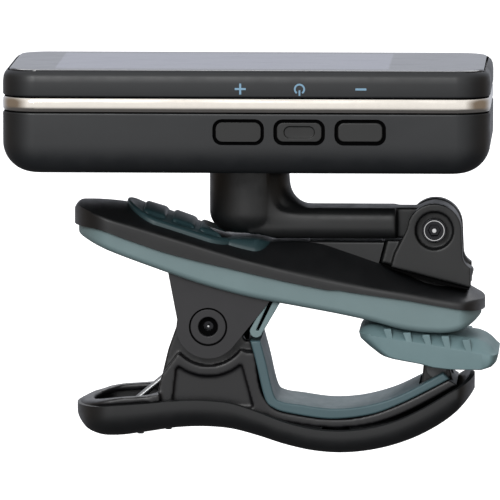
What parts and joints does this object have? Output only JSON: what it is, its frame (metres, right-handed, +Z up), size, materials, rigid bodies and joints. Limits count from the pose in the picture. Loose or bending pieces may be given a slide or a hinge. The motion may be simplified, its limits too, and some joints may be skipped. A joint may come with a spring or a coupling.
{
  "type": "clip on tuner",
  "caption": "Clip on instrument tuner: a display head on a swivelling, tilting arm above a sprung clip with soft jaws.",
  "frame": {"origin": "centre of the grip, on the upper jaw's soft lining above the middle of the jaw pad", "axes": "+X from the handles to the jaws, +Z up through the display, +Y away from the buttons' side"},
  "size_m": [0.0722, 0.034, 0.0568],
  "materials": {
    "clip_plastic": "satin moulded",
    "bracket_plastic": "fine moulded texture",
    "arm_plastic": "fine moulded texture",
    "frame_plastic": "fine moulded texture",
    "case_plastic": "satin moulded",
    "trim_white": "glossy",
    "soft_liner": "matt, soft",
    "throat_rubber": "matt, soft",
    "jaw_rubber": "matt, soft",
    "teal_rubber": "matt, soft",
    "button_rubber": "matt, soft",
    "display_glass": "clear, glossy",
    "panel": "smooth",
    "backlight": "white diffuser",
    "board": "solder mask",
    "switch": "moulded",
    "steel": "machined",
    "chrome": "plated",
    "spring_steel": "drawn wire",
    "brass": "sheet",
    "pin_grey": "moulded",
    "carrier": "moulded"
  },
  "bodies": {
    "upper_jaw": {"upper_shell": "clip_plastic", "upper_liner": "soft_liner", "upper_bracket": "bracket_plastic", "finger_pad": "teal_rubber", "throat_guard": "soft_liner", "pivot_caps": "bracket_plastic", "pivot_pin": "steel"},
    "turret": {"hinge_turret": "arm_plastic", "hinge_screw": "steel", "hinge_nut": "steel", "hinge_washers": "chrome", "turret_washer": "steel", "turret_screw": "steel"},
    "arm": {"swing_arm": "arm_plastic", "swivel_washer": "steel", "swivel_screw": "steel"},
    "head": {"display_lens": "display_glass", "front_case": "case_plastic", "trim_ring": "trim_white", "lcd_panel": "panel", "backlight_plate": "backlight", "circuit_board": "board", "rear_case": "case_plastic", "tact_switches": "switch", "coin_cell": "steel", "battery_contact": "brass", "piezo_disc": "brass", "case_screws": "steel"},
    "plus_key": {"button_plus": "button_rubber"},
    "power_key": {"button_power": "button_rubber"},
    "minus_key": {"button_minus": "button_rubber"},
    "cover": {"battery_cover": "case_plastic"},
    "lower_jaw": {"lower_shell": "clip_plastic", "lower_frame": "frame_plastic", "lower_liner": "throat_rubber", "frame_screws": "steel", "torsion_spring": "spring_steel", "pad_pin": "pin_grey"},
    "pad": {"jaw_pad": "jaw_rubber", "pad_carrier": "carrier"}
  },
  "joints": [
    {"name": "turret_swivel", "type": "hinge", "parent": "upper_jaw", "child": "turret", "pos_m": [0.00095, 0, 0.00765], "axis": [0.2504, 0, 0.9681], "range_deg": [-90, 90]},
    {"name": "arm_tilt", "type": "hinge", "parent": "turret", "child": "arm", "pos_m": [0.001, 0, 0.01465], "axis": [0, 1, 0], "range_deg": [0, 90]},
    {"name": "head_swivel", "type": "hinge", "parent": "arm", "child": "head", "pos_m": [-0.0262, 0, 0.0239], "axis": [0, 0, 1], "continuous": true},
    {"name": "jaw_open", "type": "hinge", "parent": "upper_jaw", "child": "lower_jaw", "pos_m": [-0.032, 0, 0.00065], "axis": [0, 1, 0], "range_deg": [0, 35], "stiffness_Nm_per_rad": 0.25, "springref_deg": -34.38, "deforming": ["torsion_spring"]},
    {"name": "pad_tilt", "type": "hinge", "parent": "lower_jaw", "child": "pad", "pos_m": [0.00135, 0, -0.0055], "axis": [0, 1, 0], "range_deg": [-35, 0]},
    {"name": "plus_press", "type": "slide", "parent": "head", "child": "plus_key", "axis": [0, 1, 0], "range_m": [0, 0.0006], "stiffness_N_per_m": 1500, "springref_m": -0.0002},
    {"name": "power_press", "type": "slide", "parent": "head", "child": "power_key", "axis": [0, 1, 0], "range_m": [0, 0.0006], "stiffness_N_per_m": 1500, "springref_m": -0.0002},
    {"name": "minus_press", "type": "slide", "parent": "head", "child": "minus_key", "axis": [0, 1, 0], "range_m": [0, 0.0006], "stiffness_N_per_m": 1500, "springref_m": -0.0002},
    {"name": "cover_turn", "type": "hinge", "parent": "head", "child": "cover", "pos_m": [-0.0431, 0, 0.0245], "axis": [0, 0, 1], "range_deg": [0, 40]}
  ],
  "couplings": [
    {"joint": "pad_tilt", "follows": "jaw_open", "ratio": -1}
  ]
}
